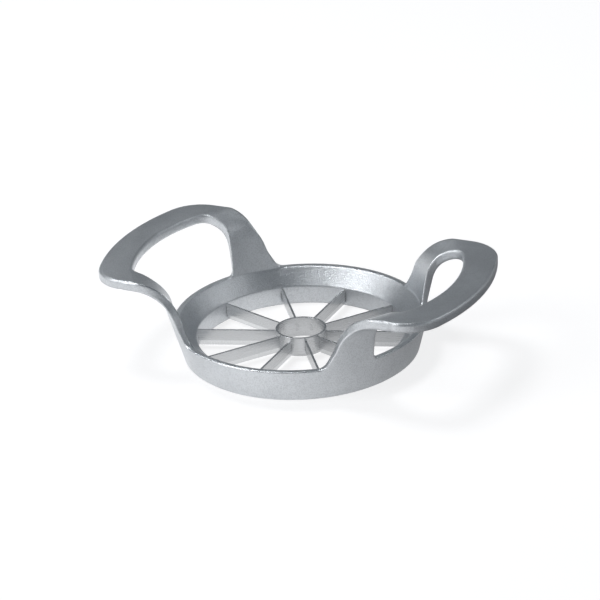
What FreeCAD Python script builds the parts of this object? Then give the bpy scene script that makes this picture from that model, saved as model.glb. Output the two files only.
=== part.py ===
import FreeCAD, Part
import math
import os

# Fruit wedger: a cast ring with two loop handles, ten radial blades and a core tube.
# Sizes are in millimetres. The origin is on the table under the middle of the ring,
# X runs through both handles and Z points up.

# Ring of the casting
RIM_RADIUS = 55.0
RIM_HEIGHT = 15.0
RIM_WIDTH = 2.5
FOOT_RADIUS = 51.0
LEDGE_RADIUS = 45.3
LEDGE_HEIGHT = 8.4
FOOT_CHAMFER = 0.8

# Loop handles, which carry on the flare of the ring and then bend out flat
INNER_SLOPE = 0.185
GRIP_TOP = 41.0
GRIP_THICKNESS = 3.8
TOP_BEND_RADIUS = 17.5
UNDER_BEND_RADIUS = 14.0
HANDLE_ROOT = 12.0
HANDLE_REACH = 84.5
HANDLE_HALF_WIDTH = 44.1
SIDE_START = 50.0
ROOT_START = 44.0
ROOT_HALF_WIDTH = 54.0
ROOT_END = 27.0
HANDLE_END_RADIUS = 96.0
HANDLE_CORNER_RADIUS = 17.0

# Hand holes
HOLE_REACH = 70.9
HOLE_HALF_WIDTH = 32.6
HOLE_END_RADIUS = 67.0
HOLE_CORNER_RADIUS = 7.0
HOLE_SIDE_START = 50.2
HOLE_SIDE_ANGLE = 53.0
HOLE_SIDE_RUN = 20.0
HOLE_BEND_RADIUS = 8.0
HOLE_FOOT_RADIUS = 2.75

# Rounding of the upper edges, which meets the grip's top at a slight angle
EDGE_ROUND = 1.35
EDGE_ROUND_ABOVE = 0.15

# Shoulders: where a strut's side leaves the rim, climbs and runs out along the grip.
# A turn of 0 cuts straight through the wall and a turn of 90 cuts straight down.
SHOULDER_LEAD_ANGLES = [63.0, 60.5]
SHOULDER_FOOT_ANGLE = 57.9
SHOULDER_FOOT_RADIUS = 6.0
SHOULDER_FOOT_SWEEP = 68.0
SHOULDER_FOOT_STEPS = 3
# Angle about the axis, height and turn, up the side of the strut
SHOULDER_CLIMB = [
    (49.5, 23.0, 0.0),
    (47.9, 27.3, 5.0),
    (46.0, 31.0, 15.0),
]
# X, Y and turn, along the side of the grip
SHOULDER_RUN = [
    (44.3, 42.1, 38.0),
    (48.5, 43.0, 62.0),
    (54.0, 43.9, 82.0),
    (60.0, 44.4, 90.0),
    (66.0, 45.0, 90.0),
]
SHOULDER_HALF_CUT = 6.0
SHOULDER_CLEAR = (-0.4, 0.8, 0.45)

# The feet of the struts start a little under the top of the rim
FOOT_SINK = 0.25

# Blades
BLADE_COUNT = 10
FIRST_BLADE_ANGLE = 18.0
BLADE_THICKNESS = 0.9
BLADE_TOP = 7.9
BLADE_BOTTOM = 0.7
BLADE_GRIND = 2.2
BLADE_EDGE = 0.12
TANG_DEPTH = 3.0
TANG_BOTTOM = 1.8
TANG_TOP = 6.8
SLOT_CLEARANCE = 0.05
SLOT_OVERRUN = 1.0

# Core tube
CORE_RADIUS = 11.0
CORE_WALL = 0.9
CORE_TOP = 9.4
CORE_BOTTOM = 0.5
CORE_GRIND = 1.6
TAB_BOTTOM = 3.4
TAB_TOP = 6.6

FAR = 120.0


def point(x, y, z=0.0):
    return FreeCAD.Vector(x, y, z)


Y_AXIS = point(0, 1, 0)
Z_AXIS = point(0, 0, 1)
ORIGIN = point(0, 0, 0)


def wall_slope():
    return (RIM_RADIUS - FOOT_RADIUS) / RIM_HEIGHT


def outer_radius(height):
    return FOOT_RADIUS + wall_slope() * height


def inner_radius(height):
    """The struts' inner face, which starts at the rim's inner edge and thickens upwards."""
    return RIM_RADIUS - RIM_WIDTH + INNER_SLOPE * (height - RIM_HEIGHT)


def closed_face(corners, radii=None):
    """A flat face with straight sides and an arc at each corner that has a radius."""
    count = len(corners)
    radii = radii or {}
    starts = []
    ends = []
    arcs = []
    for i, corner in enumerate(corners):
        radius = radii.get(i, 0.0)
        if radius == 0.0:
            starts.append(corner)
            ends.append(corner)
            arcs.append(None)
            continue
        back = (corners[i - 1] - corner).normalize()
        ahead = (corners[(i + 1) % count] - corner).normalize()
        half_angle = back.getAngle(ahead) / 2.0
        reach = radius / math.tan(half_angle)
        to_centre = (back + ahead).normalize()
        middle = corner + to_centre * (radius / math.sin(half_angle) - radius)
        starts.append(corner + back * reach)
        ends.append(corner + ahead * reach)
        arcs.append(Part.Arc(starts[-1], middle, ends[-1]).toShape())
    edges = []
    for i in range(count):
        if arcs[i]:
            edges.append(arcs[i])
        following = starts[(i + 1) % count]
        if ends[i].distanceToPoint(following) > 1e-6:
            edges.append(Part.makeLine(ends[i], following))
    return Part.Face(Part.Wire(edges))


def revolved(face):
    return face.revolve(ORIGIN, Z_AXIS, 360.0)


def ring():
    """The flared ring with its funnel and the ledge that carries the blades."""
    flare_run = FOOT_CHAMFER * wall_slope()
    profile = closed_face(
        [
            point(LEDGE_RADIUS, 0, 0),
            point(FOOT_RADIUS - FOOT_CHAMFER, 0, 0),
            point(FOOT_RADIUS + flare_run, 0, FOOT_CHAMFER),
            point(RIM_RADIUS, 0, RIM_HEIGHT),
            point(RIM_RADIUS - RIM_WIDTH, 0, RIM_HEIGHT),
            point(LEDGE_RADIUS, 0, LEDGE_HEIGHT),
        ]
    )
    return revolved(profile)


def flare():
    """The ring's wall carried on upwards and bent out into a flat brim."""
    under = GRIP_TOP - GRIP_THICKNESS
    profile = closed_face(
        [
            point(inner_radius(HANDLE_ROOT), 0, HANDLE_ROOT),
            point(outer_radius(HANDLE_ROOT), 0, HANDLE_ROOT),
            point(outer_radius(under), 0, under),
            point(FAR, 0, under),
            point(FAR, 0, GRIP_TOP),
            point(inner_radius(GRIP_TOP), 0, GRIP_TOP),
        ],
        {2: UNDER_BEND_RADIUS, 5: TOP_BEND_RADIUS},
    )
    return revolved(profile)


def loop_outline(reach, end_radius, half_width, corner_radius, start_points):
    """A loop's plan: straight sides, rounded corners and a shallow arc across the end."""
    centre = point(reach - end_radius, 0)
    corner_y = half_width - corner_radius
    swing = math.asin(corner_y / (end_radius - corner_radius))
    arc_centre_x = centre.x + (end_radius - corner_radius) * math.cos(swing)
    tip = point(reach, 0)
    end_high = centre + point(end_radius * math.cos(swing), end_radius * math.sin(swing))
    end_low = point(end_high.x, -end_high.y)
    turn = (math.pi / 2 + swing) / 2
    mid_high = point(
        arc_centre_x + corner_radius * math.cos(turn),
        corner_y + corner_radius * math.sin(turn),
    )
    mid_low = point(mid_high.x, -mid_high.y)
    side_high = point(arc_centre_x, half_width)
    side_low = point(arc_centre_x, -half_width)
    edges = [
        Part.Arc(end_low, tip, end_high).toShape(),
        Part.Arc(end_high, mid_high, side_high).toShape(),
    ]
    chain = [side_high] + start_points + [point(p.x, -p.y) for p in reversed(start_points)] + [side_low]
    for first, second in zip(chain, chain[1:]):
        edges.append(Part.makeLine(first, second))
    edges.append(Part.Arc(side_low, mid_low, end_low).toShape())
    return Part.Face(Part.Wire(edges))


def handle_outline():
    start = [
        point(SIDE_START, HANDLE_HALF_WIDTH),
        point(ROOT_START, ROOT_HALF_WIDTH),
        point(ROOT_END, ROOT_HALF_WIDTH),
    ]
    return loop_outline(
        HANDLE_REACH, HANDLE_END_RADIUS, HANDLE_HALF_WIDTH, HANDLE_CORNER_RADIUS, start
    )


def hole_outline():
    slant = math.radians(HOLE_SIDE_ANGLE)
    bend = point(HOLE_SIDE_START, HOLE_HALF_WIDTH)
    inner = bend - point(math.cos(slant), math.sin(slant)) * HOLE_SIDE_RUN
    return loop_outline(
        HOLE_REACH, HOLE_END_RADIUS, HOLE_HALF_WIDTH, HOLE_CORNER_RADIUS, [bend, inner]
    )


def sheet_slope():
    return (wall_slope() + INNER_SLOPE) / 2


def sheet_radius(height):
    """Distance from the axis to the middle of a strut's sheet, below the bend."""
    return (outer_radius(height) + inner_radius(height)) / 2


def sheet_height(radius):
    """Height of the middle of the sheet at a distance from the axis."""
    bend = (TOP_BEND_RADIUS + UNDER_BEND_RADIUS) / 2
    top = GRIP_TOP - GRIP_THICKNESS / 2
    climb = math.atan2(1.0, sheet_slope())
    centre_radius = sheet_radius(top) + bend * math.tan(climb / 2)
    if radius >= centre_radius:
        return top
    if radius > centre_radius - bend * math.sin(climb):
        return top - bend + math.sqrt(bend ** 2 - (centre_radius - radius) ** 2)
    return (radius - sheet_radius(0.0)) / sheet_slope()


def shoulder_stations():
    """Places on the middle of the sheet that the side of a strut passes, with their turns."""
    start = RIM_HEIGHT - FOOT_SINK
    polar = [(angle, start, 0.0) for angle in SHOULDER_LEAD_ANGLES]
    for step in range(SHOULDER_FOOT_STEPS + 1):
        sweep = math.radians(SHOULDER_FOOT_SWEEP) * step / SHOULDER_FOOT_STEPS
        along = SHOULDER_FOOT_RADIUS * math.sin(sweep)
        height = start + SHOULDER_FOOT_RADIUS * (1 - math.cos(sweep))
        angle = SHOULDER_FOOT_ANGLE - math.degrees(along / sheet_radius(height))
        polar.append((angle, height, 0.0))
    stations = []
    for angle, height, turn in polar + SHOULDER_CLIMB:
        radius = sheet_radius(height)
        x = radius * math.cos(math.radians(angle))
        y = radius * math.sin(math.radians(angle))
        stations.append((point(x, y, height), turn))
    for x, y, turn in SHOULDER_RUN:
        stations.append((point(x, y, sheet_height(math.hypot(x, y))), turn))
    return stations


def shoulder_cutter():
    """What is cut away outside a strut, lofted square to the sheet along its side."""
    clear = point(*SHOULDER_CLEAR) * FAR
    sections = []
    for middle, turn in shoulder_stations():
        outward = point(middle.x, middle.y).normalize()
        angle = math.radians(turn)
        through = outward * math.cos(angle) - Z_AXIS * math.sin(angle)
        inner = middle - through * SHOULDER_HALF_CUT
        outer = middle + through * SHOULDER_HALF_CUT
        sections.append(Part.makePolygon([inner, outer, outer + clear, inner + clear, inner]))
    return Part.makeLoft(sections, True, False)


def edges_near(solid, x, y, z):
    """The two edges of a solid nearest a place and its mirror image across the X axis."""
    found = []
    for side in (y, -y):
        spot = Part.Vertex(x, side, z)
        found.append(min(solid.Edges, key=lambda edge: edge.distToShape(spot)[0]))
    return found


def hole_tool():
    """A hand hole as a prism, rounded where its sides bend and along the foot of its slants."""
    foot = RIM_HEIGHT - FOOT_SINK
    plan = hole_outline()
    plan.translate(Z_AXIS * foot)
    tool = plan.extrude(Z_AXIS * FAR)
    bends = edges_near(tool, HOLE_SIDE_START, HOLE_HALF_WIDTH, foot + FAR / 2)
    tool = tool.makeFillet(HOLE_BEND_RADIUS, bends)
    slant = math.radians(HOLE_SIDE_ANGLE)
    x = HOLE_SIDE_START - math.cos(slant) * HOLE_SIDE_RUN / 2
    y = HOLE_HALF_WIDTH - math.sin(slant) * HOLE_SIDE_RUN / 2
    return tool.makeFillet(HOLE_FOOT_RADIUS, edges_near(tool, x, y, foot))


def rounded_plan():
    """The loop's plan as a prism with the hand hole in it and its upper edges rounded."""
    top = GRIP_TOP + EDGE_ROUND_ABOVE
    prism = handle_outline().extrude(Z_AXIS * top).cut(hole_tool())
    edges = []
    for edge in prism.Edges:
        box = edge.BoundBox
        if box.ZMin > GRIP_TOP and box.XMax > SIDE_START + 0.5 * HANDLE_CORNER_RADIUS:
            edges.append(edge)
    return prism.makeFillet(EDGE_ROUND, edges)


def handle():
    """One loop handle, over +X."""
    loop = flare().common(rounded_plan())
    cutter = shoulder_cutter()
    loop = loop.cut([cutter, cutter.mirror(ORIGIN, Y_AXIS)])
    return max(loop.Solids, key=lambda solid: solid.Volume)


def around(shape):
    """Copies of a shape at each blade's angle."""
    copies = []
    for i in range(BLADE_COUNT):
        turned = shape.copy()
        turned.rotate(ORIGIN, Z_AXIS, FIRST_BLADE_ANGLE + i * 360.0 / BLADE_COUNT)
        copies.append(turned)
    return copies


def slot_box(inner, outer, bottom, top):
    """A slot for a blade along +X, a little wider than the blade."""
    width = BLADE_THICKNESS + 2 * SLOT_CLEARANCE
    return Part.makeBox(outer - inner, width, top - bottom, point(inner, -width / 2, bottom))


def cast_frame():
    """Ring and both handles, one casting, with a pocket for the tang of each blade."""
    loop = handle()
    other = loop.copy()
    other.rotate(ORIGIN, Z_AXIS, 180.0)
    casting = ring().fuse([loop, other]).removeSplitter()
    start = LEDGE_RADIUS - SLOT_OVERRUN
    pocket = slot_box(start, LEDGE_RADIUS + TANG_DEPTH, TANG_BOTTOM, TANG_TOP)
    return casting.cut(around(pocket)).Solids[0]


def core_tube():
    """The thin tube that cuts out the core, ground outside at the bottom."""
    inner = CORE_RADIUS - CORE_WALL
    profile = closed_face(
        [
            point(inner, 0, CORE_BOTTOM),
            point(inner + BLADE_EDGE, 0, CORE_BOTTOM),
            point(CORE_RADIUS, 0, CORE_BOTTOM + CORE_GRIND),
            point(CORE_RADIUS, 0, CORE_TOP),
            point(inner, 0, CORE_TOP),
        ]
    )
    start = inner - SLOT_OVERRUN
    window = slot_box(start, CORE_RADIUS + SLOT_OVERRUN, TAB_BOTTOM, TAB_TOP)
    return revolved(profile).cut(around(window)).Solids[0]


def blade():
    """A blade along +X: a ground strip with a tang for the ring and a tab for the tube."""
    tab_end = CORE_RADIUS - CORE_WALL
    tang_end = LEDGE_RADIUS + TANG_DEPTH
    side = closed_face(
        [
            point(tab_end, 0, TAB_BOTTOM),
            point(CORE_RADIUS, 0, TAB_BOTTOM),
            point(CORE_RADIUS, 0, BLADE_BOTTOM),
            point(LEDGE_RADIUS, 0, BLADE_BOTTOM),
            point(LEDGE_RADIUS, 0, TANG_BOTTOM),
            point(tang_end, 0, TANG_BOTTOM),
            point(tang_end, 0, TANG_TOP),
            point(LEDGE_RADIUS, 0, TANG_TOP),
            point(LEDGE_RADIUS, 0, BLADE_TOP),
            point(CORE_RADIUS, 0, BLADE_TOP),
            point(CORE_RADIUS, 0, TAB_TOP),
            point(tab_end, 0, TAB_TOP),
        ]
    )
    side.translate(Y_AXIS * -BLADE_THICKNESS)
    slab = side.extrude(Y_AXIS * 2 * BLADE_THICKNESS)
    half = BLADE_THICKNESS / 2
    edge = BLADE_EDGE / 2
    section = closed_face(
        [
            point(0, -edge, BLADE_BOTTOM),
            point(0, edge, BLADE_BOTTOM),
            point(0, half, BLADE_BOTTOM + BLADE_GRIND),
            point(0, half, BLADE_TOP),
            point(0, -half, BLADE_TOP),
            point(0, -half, BLADE_BOTTOM + BLADE_GRIND),
        ]
    )
    return slab.common(section.extrude(point(FAR, 0))).Solids[0]


def main():
    os.makedirs("parts", exist_ok=True)
    cast_frame().exportStep("parts/cast_frame.step")
    core_tube().exportStep("parts/core_tube.step")
    for number, turned in enumerate(around(blade()), start=1):
        turned.exportStep(f"parts/blade_{number:02d}.step")


main()
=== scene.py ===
# %% [markdown]
# A fruit wedger is pushed down over a fruit by two loop handles. One casting makes
# the ring and both handles, and thin steel blades meet a core tube in the middle.
# The CAD model already has the true shapes and sizes. This lesson loads it as it is
# and gives it a camera, a plain studio and procedural finishes.

import math

import bmesh
import bpy
from mathutils import Matrix, Vector


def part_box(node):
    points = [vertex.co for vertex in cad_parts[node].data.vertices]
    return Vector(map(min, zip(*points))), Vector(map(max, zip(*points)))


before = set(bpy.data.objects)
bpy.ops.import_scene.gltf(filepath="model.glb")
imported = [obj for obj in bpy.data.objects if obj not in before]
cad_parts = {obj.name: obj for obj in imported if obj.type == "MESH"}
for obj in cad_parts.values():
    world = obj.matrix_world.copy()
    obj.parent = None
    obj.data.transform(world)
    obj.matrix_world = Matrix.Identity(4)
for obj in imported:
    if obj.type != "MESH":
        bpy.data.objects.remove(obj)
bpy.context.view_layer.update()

# %% [markdown]
# The camera stands where the photographer's did: a long lens about a metre away,
# 25 degrees above the table, to the right of the middle and tipped a little to one
# side. The tip matters, because it makes the ring look as if it leans. A long lens
# keeps the near handle from looking too large. The camera is turned towards what is
# in the middle of the picture, so no lens shift is needed.

# %% Camera
CAMERA_AZIMUTH = math.radians(26.58)
CAMERA_ELEVATION = math.radians(25.17)
CAMERA_ROLL = math.radians(3.09)
CAMERA_DISTANCE = 1.048
FOCAL_LENGTH = 145.87
# Height of the point inside the ring that the camera stands off from, and how far
# above and to the right of that point the middle of the picture is
STAND_OFF_HEIGHT = 0.0153
MIDDLE_ABOVE = 0.00645
MIDDLE_RIGHT = 0.00023

view_from = Vector((
    math.sin(CAMERA_AZIMUTH) * math.cos(CAMERA_ELEVATION),
    -math.cos(CAMERA_AZIMUTH) * math.cos(CAMERA_ELEVATION),
    math.sin(CAMERA_ELEVATION),
))
right = Vector((math.cos(CAMERA_AZIMUTH), math.sin(CAMERA_AZIMUTH), 0.0))
up = view_from.cross(right)
inside_ring = Vector((0.0, 0.0, STAND_OFF_HEIGHT))
place = inside_ring + view_from * CAMERA_DISTANCE
middle = inside_ring + up * MIDDLE_ABOVE + right * MIDDLE_RIGHT

camera_data = bpy.data.cameras.new("studio_camera")
camera_data.lens = FOCAL_LENGTH
camera_data.sensor_width = 36.0
camera_data.clip_start = 0.05
camera_data.clip_end = 20.0
camera = bpy.data.objects.new("studio_camera", camera_data)
bpy.context.scene.collection.objects.link(camera)
bpy.context.scene.camera = camera
backward = (place - middle).normalized()
level = up.cross(backward).normalized()
upright = backward.cross(level)
side = level * math.cos(CAMERA_ROLL) - upright * math.sin(CAMERA_ROLL)
top = level * math.sin(CAMERA_ROLL) + upright * math.cos(CAMERA_ROLL)
turn = Matrix((side, top, backward)).transposed().to_4x4()
camera.matrix_world = Matrix.Translation(place) @ turn
print("camera at", tuple(round(v, 3) for v in place))

# %% [markdown]
# The world, the table and the metals are all made of nodes. Two helpers keep that
# short. The first adds a node, sets each input that is a value and links each input
# that is another node's socket. The second does this for one step of arithmetic.

# %% Helpers for nodes
def add_node(tree, kind, inputs=None, **settings):
    """A shader node. Each input is a value, or the socket that feeds it."""
    node = tree.nodes.new("ShaderNode" + kind)
    # What a node does comes first, because it decides which sockets it has
    for name, value in settings.items():
        setattr(node, name, value)
    for socket, value in (inputs or {}).items():
        if isinstance(value, bpy.types.NodeSocket):
            tree.links.new(value, node.inputs[socket])
        else:
            node.inputs[socket].default_value = value
    return node


def calculate(tree, operation, first, second=None, clamp=False):
    """The result of a Math node; each operand is a number or a socket."""
    operands = {0: first} if second is None else {0: first, 1: second}
    node = add_node(tree, "Math", operands, operation=operation, use_clamp=clamp)
    return node.outputs[0]


print("node helpers:", add_node.__name__, calculate.__name__)

# %% [markdown]
# Metal has hardly any colour of its own. What it shows is its surroundings, so the
# studio decides how it looks. A white table fills the sides of the ring with light, and
# grey walls and a grey ceiling leave the flat tops of the grips darker. The world makes
# the walls and the ceiling: a direction's height picks its tone, white where the table
# ends and grey above it. Camera rays see it white, so that every view has a plain
# background, while the metal keeps the grey room.

# %% World
WHITE = (1.0, 1.0, 1.0, 1.0)
# Height of a direction, from 0 at the horizon to 1 straight up, and the room's tone there
ROOM_TONES = [
    (0.01, WHITE),
    (0.13, (0.235, 0.25, 0.265, 1.0)),
    (0.75, (0.155, 0.17, 0.185, 1.0)),
]

world = bpy.data.worlds.new("studio")
bpy.context.scene.world = world
world.use_nodes = True
sky = world.node_tree
sky.nodes.clear()
direction = add_node(sky, "TexCoord").outputs["Generated"]
height = add_node(sky, "SeparateXYZ", {0: direction}).outputs["Z"]
fade = add_node(sky, "ValToRGB", {"Fac": height})
stops = fade.color_ramp.elements
for index, (at_height, tone) in enumerate(ROOM_TONES):
    stop = stops[index] if index < len(stops) else stops.new(at_height)
    stop.position = at_height
    stop.color = tone
room = add_node(sky, "Background", {"Color": fade.outputs["Color"], "Strength": 1.0})
plain = add_node(sky, "Background", {"Color": WHITE, "Strength": 1.0})
by_camera = add_node(sky, "LightPath").outputs["Is Camera Ray"]
choose = add_node(sky, "MixShader", {0: by_camera, 1: room.outputs[0], 2: plain.outputs[0]})
add_node(sky, "OutputWorld", {"Surface": choose.outputs[0]})
print("world", world.name, "has", len(stops), "tones")

# %% [markdown]
# The table is a large sheet, so large that its far edge meets the horizon. It could be
# bent up behind the object, as a photographer's paper is, but the world is white there
# already.

# %% Table
TABLE_SIZE = 8.0
# A hair under the foot, so that the two faces don't lie in one plane
TABLE_LEVEL = -0.0001

table_mesh = bpy.data.meshes.new("table")
sheet = bmesh.new()
bmesh.ops.create_grid(sheet, x_segments=1, y_segments=1, size=TABLE_SIZE / 2)
sheet.to_mesh(table_mesh)
sheet.free()
table = bpy.data.objects.new("table", table_mesh)
table.location.z = TABLE_LEVEL
bpy.context.scene.collection.objects.link(table)
print("table is", TABLE_SIZE, "m wide")

# %% [markdown]
# A white surface under this light would come out pale grey, so what the camera and the
# metal see of the table also glows a little. The rest of it is still lit by the lamps,
# and that part keeps the shadow under the ring. For the metal the glow fades towards
# the right, a painted shade in place of a dark card there: the wall of the ring mirrors
# the table close in front of it, bright on the left and darker on the right.

# %% White paper of the table
WHITE_GLOW = 0.78
# The metal loses the glow, as painted shade, between these places, in metres to the right of the
# middle
FADE_START = -0.038
FADE_END = 0.117
LIT_PAPER = (0.8, 0.8, 0.8, 1.0)
SEEN_PAPER = (0.34, 0.34, 0.35, 1.0)

paper = bpy.data.materials.new("white_table")
paper.use_nodes = True
tree = paper.node_tree
tree.nodes.clear()
rays = add_node(tree, "LightPath").outputs
spot = add_node(tree, "TexCoord").outputs["Object"]
to_the_right = add_node(tree, "VectorMath", {0: spot, 1: right}, operation="DOT_PRODUCT")
# Painted shade: the glow that the metal mirrors fades towards the right
painted_shade_fade = add_node(
    tree,
    "MapRange",
    {
        "Value": to_the_right.outputs["Value"],
        "From Min": FADE_START,
        "From Max": FADE_END,
        "To Min": 0.0,
        "To Max": WHITE_GLOW,
    },
    interpolation_type="SMOOTHSTEP",
)
# Only glossy rays lose the glow, so the painted shade shows only in the metal
glow_lost_to_painted_shade = calculate(tree, "MULTIPLY", painted_shade_fade.outputs[0], rays["Is Glossy Ray"])
glow = add_node(tree, "Emission", {"Strength": calculate(tree, "SUBTRACT", WHITE_GLOW, glow_lost_to_painted_shade)})
shaded = add_node(tree, "BsdfDiffuse", {"Color": SEEN_PAPER})
seen = add_node(tree, "AddShader", {0: shaded.outputs[0], 1: glow.outputs[0]})
lit = add_node(tree, "BsdfDiffuse", {"Color": LIT_PAPER})
is_seen = calculate(tree, "MAXIMUM", rays["Is Camera Ray"], rays["Is Glossy Ray"])
is_seen = calculate(tree, "MAXIMUM", is_seen, rays["Is Transmission Ray"])
pick = add_node(tree, "MixShader", {0: is_seen, 1: lit.outputs[0], 2: seen.outputs[0]})
add_node(tree, "OutputMaterial", {"Surface": pick.outputs[0]})
table_mesh.materials.append(paper)
print("material", paper.name)

# %% [markdown]
# Four soft lamps light it, as in a product photographer's tent. The large one at the
# front left makes the left of the wall the brightest and draws the bright lines along
# the edges that face it. The small one overhead adds a line along the grips, and the
# weak ones at the back and at the right only open up the shadows. Were they stronger,
# the outer edge of the right grip would have a bright line too, and it has none.

# %% Lamps
LAMP_TARGET = Vector((0.0, 0.0, 0.02))


def soft_lamp(name, position, size, power):
    """A square area lamp, sized in metres and powered in watts, that faces the object."""
    data = bpy.data.lights.new(name, "AREA")
    data.size = size
    data.energy = power
    lamp = bpy.data.objects.new(name, data)
    lamp.location = position
    toward = LAMP_TARGET - Vector(position)
    lamp.rotation_euler = toward.to_track_quat("-Z", "Y").to_euler()
    bpy.context.scene.collection.objects.link(lamp)
    print(name, power, "W")


soft_lamp("key_lamp", (-0.75, -0.75, 0.8), size=0.7, power=6.3)
soft_lamp("back_lamp", (0.75, 0.55, 0.85), size=0.35, power=1.2)
soft_lamp("top_lamp", (-0.45, 0.15, 1.05), size=0.3, power=4.0)
soft_lamp("fill_lamp", (1.0, -0.5, 0.5), size=0.6, power=0.4)

# %% [markdown]
# Several finishes share the same marks of metal: a fine grain, slow clouds of
# tone, brighter edges, partly where it is rubbed and partly a painted highlight, and
# edges that are never quite sharp. Each is a node group with named inputs, built once.
# A group here gives out only masks, heights and normals, and each material decides
# what they do to its colour, roughness and bump.

# %% A helper for node groups
def new_group(name, inputs, outputs):
    """An empty node group, the sockets it works from and the sockets it fills."""
    group = bpy.data.node_groups.new(name, "ShaderNodeTree")
    for socket, kind, value in inputs:
        made = group.interface.new_socket(socket, in_out="INPUT", socket_type=kind)
        if value is not None:
            made.default_value = value
    for socket, kind in outputs:
        group.interface.new_socket(socket, in_out="OUTPUT", socket_type=kind)
    start = group.nodes.new("NodeGroupInput")
    end = group.nodes.new("NodeGroupOutput")
    print("group", name)
    return group, start.outputs, end.inputs


def bevel_normal(group, radius_mm, samples):
    """The normal that the surface would have if its edges were rounded."""
    radius = calculate(group, "MULTIPLY", radius_mm, 0.001)
    return add_node(group, "Bevel", {"Radius": radius}, samples=samples).outputs[0]


# %% [markdown]
# Cast grain: sand or a blasted die leaves an even, sugary skin. Two sizes of noise
# make it: small grains and, under them, a looser pattern five times as large. The
# cloud is a third, slow noise. Noise is used rather than a picture, because it has no
# seams and no edges.

# %% Cast grain group
CLOUD_SCALE = 60.0
LOOSE_SHARE_OF_SCALE = 0.2

grain, grain_in, grain_out = new_group(
    "cast_grain",
    [
        ("Vector", "NodeSocketVector", None),
        ("Grain Size mm", "NodeSocketFloat", 0.5),
        ("Coarse Share", "NodeSocketFloat", 0.2),
    ],
    [("Height", "NodeSocketFloat"), ("Cloud", "NodeSocketFloat")],
)


def noise(tree, vector, scale, detail):
    """The value of a Noise node."""
    inputs = {"Vector": vector, "Scale": scale, "Detail": detail}
    return add_node(tree, "TexNoise", inputs).outputs[0]


grains_per_metre = calculate(grain, "DIVIDE", 1000.0, grain_in["Grain Size mm"])
loose_per_metre = calculate(grain, "MULTIPLY", grains_per_metre, LOOSE_SHARE_OF_SCALE)
fine = noise(grain, grain_in["Vector"], grains_per_metre, 2.0)
coarse = noise(grain, grain_in["Vector"], loose_per_metre, 3.0)
blend = add_node(grain, "Mix", {"Factor": grain_in["Coarse Share"], "A": fine, "B": coarse})
grain.links.new(blend.outputs["Result"], grain_out["Height"])
grain.links.new(noise(grain, grain_in["Vector"], CLOUD_SCALE, 4.0), grain_out["Cloud"])
print("grain has", len(grain.nodes), "nodes")

# %% [markdown]
# Edge wear and highlight: hands and cupboards polish the corners, and on the casting
# the brighter edges are also a painted highlight. Cycles can tell where an edge is: its
# Bevel node gives the normal that a rounded corner would have, and where that differs
# from the true normal there is an edge. Noise breaks the line up.

# %% Edge wear and highlight group
PATCH_SCALE = 260.0

wear_and_highlight, wear_and_highlight_in, wear_and_highlight_out = new_group(
    "edge_wear_and_highlight",
    [
        ("Vector", "NodeSocketVector", None),
        ("Radius mm", "NodeSocketFloat", 0.6),
        ("Gain", "NodeSocketFloat", 3.0),
    ],
    [("Mask", "NodeSocketFloat")],
)
rounded = bevel_normal(wear_and_highlight, wear_and_highlight_in["Radius mm"], samples=6)
true_normal = add_node(wear_and_highlight, "NewGeometry").outputs["Normal"]
agree = add_node(wear_and_highlight, "VectorMath", {0: rounded, 1: true_normal}, operation="DOT_PRODUCT")
bent = calculate(wear_and_highlight, "SUBTRACT", 1.0, agree.outputs["Value"])
strong = calculate(wear_and_highlight, "MULTIPLY", bent, wear_and_highlight_in["Gain"])
patchy = calculate(wear_and_highlight, "MULTIPLY", strong, noise(wear_and_highlight, wear_and_highlight_in["Vector"], PATCH_SCALE, 3.0))
# The noise is about a half on average, and doubling it keeps the mask as strong
wear_and_highlight.links.new(calculate(wear_and_highlight, "MULTIPLY", patchy, 2.0, clamp=True), wear_and_highlight_out["Mask"])
print("wear has", len(wear_and_highlight.nodes), "nodes")

# %% [markdown]
# Soft edges: no cast or cut edge is a knife edge, and the small round on it is what
# catches a line of light. The grips' large rounds are in the CAD model. This group
# gives the small ones, as a normal that turns over an edge within a radius.

# %% Soft edge group
soften, soften_in, soften_out = new_group(
    "soft_edge", [("Radius mm", "NodeSocketFloat", 0.5)], [("Normal", "NodeSocketVector")]
)
soften.links.new(
    bevel_normal(soften, soften_in["Radius mm"], samples=8), soften_out["Normal"]
)
print("soft edge has", len(soften.nodes), "nodes")

# %% [markdown]
# A material starts with the same few nodes each time: Object coordinates, the metal
# shader and the output. The class below makes them, and adds groups, blends and a
# bump to them in a line each.

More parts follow.
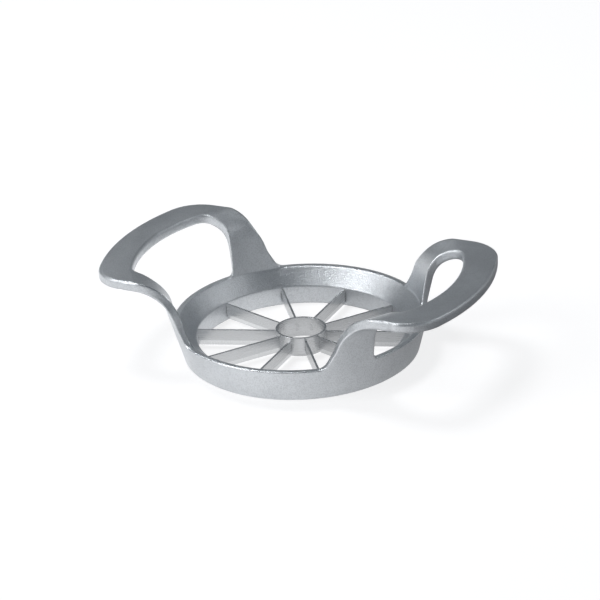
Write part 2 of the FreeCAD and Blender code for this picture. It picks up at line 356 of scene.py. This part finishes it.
# %% A helper for metal finishes
class Finish:
    """A new metal material, its shader and short ways to add nodes."""

    def __init__(self, name):
        self.material = bpy.data.materials.new(name)
        self.material.use_nodes = True
        self.tree = self.material.node_tree
        self.shader = self.tree.nodes["Principled BSDF"]
        self.shader.inputs["Metallic"].default_value = 1.0
        self.place = self.node("TexCoord").outputs["Object"]

    def node(self, kind, inputs=None, **settings):
        return add_node(self.tree, kind, inputs, **settings)

    def math(self, operation, first, second=None, clamp=False):
        return calculate(self.tree, operation, first, second, clamp)

    def group(self, group, **values):
        """The outputs of a group; Grain_Size_mm sets its input Grain Size mm."""
        node = self.node("Group", node_tree=group)
        if "Vector" in node.inputs:
            self.tree.links.new(self.place, node.inputs["Vector"])
        for name, value in values.items():
            node.inputs[name.replace("_", " ")].default_value = value
        return node.outputs

    def blend(self, factor, first, second):
        """A colour between two colours, or between a socket and a colour."""
        inputs = {"Factor": factor, "A": first, "B": second}
        return self.node("Mix", inputs, data_type="RGBA").outputs["Result"]

    def spread(self, value, start, end):
        """A value that goes from end[0] to end[1] while value goes from start[0] to start[1]."""
        inputs = {
            "Value": value,
            "From Min": start[0],
            "From Max": start[1],
            "To Min": end[0],
            "To Max": end[1],
        }
        return self.node("MapRange", inputs).outputs["Result"]

    def feed(self, value, socket):
        self.tree.links.new(value, self.shader.inputs[socket])

    def bump(self, height, strength, depth, edge_radius):
        """A bump in metres of depth, on edges softened by a radius in millimetres."""
        inputs = {
            "Height": height,
            "Strength": strength,
            "Distance": depth,
            "Normal": self.group(soften, Radius_mm=edge_radius)["Normal"],
        }
        self.feed(self.node("Bump", inputs).outputs[0], "Normal")


# %% [markdown]
# The casting is aluminium, blasted to an even satin skin. It is built from one metal
# shader: two close greys clouded into each other, a roughness that drifts with the
# clouds, grain as a shallow bump whose pits get a painted shade, and edges polished
# smoother until the grain is gone, with a brighter colour there that is partly wear and
# partly a painted highlight.

# %% Satin cast aluminium
DULL_CAST = (0.62, 0.645, 0.67, 1.0)
BRIGHT_CAST = (0.68, 0.705, 0.73, 1.0)
# Painted shade for the grain's pits
PAINTED_PIT_SHADE = (0.40, 0.415, 0.43, 1.0)
# Colour of the edges: partly wear, partly a painted highlight
WORN_AND_HIGHLIT_CAST = (0.84, 0.86, 0.88, 1.0)
# Roughness between the clouds, and how much smoother a worn edge is
SATIN = (0.28, 0.35)
EDGE_POLISH = 0.1
# Grain lower than the second height gets painted shade, and from the first height down it
# has this share of the painted pit shade
PIT_SHADE_HEIGHTS = (0.40, 0.55)
PIT_SHADE_SHARE = 0.42
GRAIN_DEPTH = 0.00045
GRAIN_STRENGTH = 0.55
CAST_EDGE_MM = 1.6

cast = Finish("satin_cast_aluminium")
cast_skin = cast.group(grain, Grain_Size_mm=0.5, Coarse_Share=0.22)
# Edge mask: partly wear, partly a painted highlight along the casting's edges
worn_and_highlit = cast.group(wear_and_highlight, Radius_mm=1.1, Gain=2.4)["Mask"]
clouds = cast.spread(cast_skin["Cloud"], (0.35, 0.65), (0.0, 1.0))
# Painted shade: the low parts of the grain, its pits, are darkened
painted_pit_shade = cast.spread(cast_skin["Height"], PIT_SHADE_HEIGHTS, (PIT_SHADE_SHARE, 0.0))
metal = cast.blend(painted_pit_shade, cast.blend(clouds, DULL_CAST, BRIGHT_CAST), PAINTED_PIT_SHADE)
# The edges get the brighter colour, partly wear and partly painted highlight
cast.feed(cast.blend(worn_and_highlit, metal, WORN_AND_HIGHLIT_CAST), "Base Color")
rough = cast.spread(cast_skin["Cloud"], (0.3, 0.7), SATIN)
polish = cast.math("MULTIPLY", worn_and_highlit, EDGE_POLISH)
cast.feed(cast.math("SUBTRACT", rough, polish), "Roughness")
# Around its middle value, so that taking the grain off an edge leaves no step there
centred = cast.math("SUBTRACT", cast_skin["Height"], 0.5)
grainy = cast.math("SUBTRACT", 1.0, worn_and_highlit, clamp=True)
skin = cast.math("MULTIPLY", centred, grainy)
cast.bump(skin, GRAIN_STRENGTH, GRAIN_DEPTH, CAST_EDGE_MM)
print("material", cast.material.name)

# %% [markdown]
# Rolled and turned steel has fine lines one way. The pattern is noise that is long along
# the lines and tight across them, and a seed gives each strip lines of its own. A
# picture of scratches would do too, but it would show where it repeats.

# %% A helper for brushed lines
# Depth of the scratches in metres, and how much of it shows
SCRATCH_DEPTH = 0.00004
SCRATCH_STRENGTH = 0.3


def brushed(finish, along, across, seed):
    """Noise stretched along one length and tight across another."""
    lines = finish.node("CombineXYZ", {"X": along, "Y": across, "Z": seed})
    return noise(finish.tree, lines.outputs[0], 1.0, 3.0)


print("scratches are", SCRATCH_DEPTH * 1000, "mm deep")

# %% [markdown]
# The blades are cut from rolled steel strip, so their fine lines run along the blade,
# outwards from the tube. Each blade's angle round the tube is its seed. The lines stay
# off the narrow top, which is sheared. The lowest two millimetres are ground to the
# edge, with bright scratches across the strip.

# %% Brushed steel of the blades
DARK_STRIP = (0.50, 0.51, 0.52, 1.0)
PALE_STRIP = (0.66, 0.67, 0.68, 1.0)
GROUND_STRIP = (0.74, 0.75, 0.76, 1.0)
STRIP_ROUGHNESS = (0.2, 0.38)
STRIP_EDGE_MM = 0.15
# Steps of the noise in a metre, along a blade and up it: long lines where it is rolled
# and fine ones across it where it is ground
ROLLED_STEPS = (60.0, 4500.0)
GROUND_STEPS = (8000.0, 300.0)
GRIND_HEIGHT = 0.0022
# Half the height over which the grinding fades into the strip
GRIND_BLUR = 0.0001

blade_names = [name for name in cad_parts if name.startswith("blade_")]
grind_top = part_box("blade_01")[0][2] + GRIND_HEIGHT
steel = Finish("brushed_blade_steel")
apart = steel.node("SeparateXYZ", {0: steel.place}).outputs
radius_squared = steel.math(
    "ADD", steel.math("POWER", apart["X"], 2.0), steel.math("POWER", apart["Y"], 2.0)
)
radius = steel.math("POWER", radius_squared, 0.5)
angle = steel.math("ARCTAN2", apart["Y"], apart["X"])
turns = steel.math("DIVIDE", angle, 2 * math.pi / len(blade_names))
which_blade = steel.math("FLOOR", turns)


def strip_lines(steps):
    """Lines on the blades, from the noise's steps along a blade and up it."""
    along = steel.math("MULTIPLY", radius, steps[0])
    upwards = steel.math("MULTIPLY", apart["Z"], steps[1])
    return brushed(steel, along, upwards, which_blade)


rolled = strip_lines(ROLLED_STEPS)
ground = strip_lines(GROUND_STEPS)
on_grind = steel.spread(apart["Z"], (grind_top - GRIND_BLUR, grind_top + GRIND_BLUR), (1.0, 0.0))
scratch = steel.node("Mix", {"Factor": on_grind, "A": rolled, "B": ground}).outputs["Result"]
strip = steel.blend(scratch, DARK_STRIP, PALE_STRIP)
steel.feed(steel.blend(on_grind, strip, GROUND_STRIP), "Base Color")
steel.feed(steel.spread(scratch, (0.3, 0.7), STRIP_ROUGHNESS), "Roughness")
facing = steel.node("NewGeometry").outputs["Normal"]
facing_up = steel.math("ABSOLUTE", steel.node("SeparateXYZ", {0: facing}).outputs["Z"])
on_sides = steel.math("SUBTRACT", 1.0, facing_up, clamp=True)
relief = steel.math("MULTIPLY", scratch, on_sides)
steel.bump(relief, SCRATCH_STRENGTH, SCRATCH_DEPTH, STRIP_EDGE_MM)
print("material", steel.material.name, "ground up to", round(grind_top * 1000, 2), "mm")

# %% [markdown]
# The core tube is rolled and then turned against a belt, so its lines run round it.
# Round the tube the height is the same, so noise that is tight in height and slow
# in the angle gives rings.

# %% Brushed steel of the tube
DARK_TUBE = (0.52, 0.53, 0.54, 1.0)
PALE_TUBE = (0.68, 0.69, 0.70, 1.0)
WORN_TUBE = (0.80, 0.81, 0.82, 1.0)
TUBE_ROUGHNESS = (0.2, 0.36)
TUBE_EDGE_MM = 0.2
# Steps of the noise up a metre of tube, and from the tube's side to its front
RINGS_PER_METRE = 3000.0
RING_DRIFT = 2.0

tube = Finish("turned_tube_steel")
split = tube.node("SeparateXYZ", {0: tube.place}).outputs
round_tube = tube.math("ARCTAN2", split["Y"], split["X"])
sideways = tube.math("ABSOLUTE", tube.math("SINE", round_tube))
rings = brushed(
    tube,
    tube.math("MULTIPLY", sideways, RING_DRIFT),
    tube.math("MULTIPLY", split["Z"], RINGS_PER_METRE),
    round_tube,
)
rubbed = tube.group(wear_and_highlight, Radius_mm=0.25, Gain=2.5)["Mask"]
tube.feed(tube.blend(rubbed, tube.blend(rings, DARK_TUBE, PALE_TUBE), WORN_TUBE), "Base Color")
tube.feed(tube.spread(rings, (0.3, 0.7), TUBE_ROUGHNESS), "Roughness")
tube.bump(rings, SCRATCH_STRENGTH, SCRATCH_DEPTH, TUBE_EDGE_MM)
print("material", tube.material.name)

# %% [markdown]
# The CAD nodes keep their meshes and take these finishes in their material slots.

# %% Dress the CAD nodes
def dress(node, finish):
    """Puts one finish on a CAD node, in place of the plain one it came with."""
    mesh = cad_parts[node].data
    mesh.materials.clear()
    mesh.materials.append(finish.material)


dress("cast_frame", cast)
dress("core_tube", tube)
for name in blade_names:
    dress(name, steel)
print("dressed", 2 + len(blade_names), "nodes")

# %% [markdown]
# Standard keeps each colour as it is written. The two boxes are written down so that
# the dressed model can be compared with the CAD model.

# %% Finish
bpy.context.scene.view_settings.view_transform = "Standard"
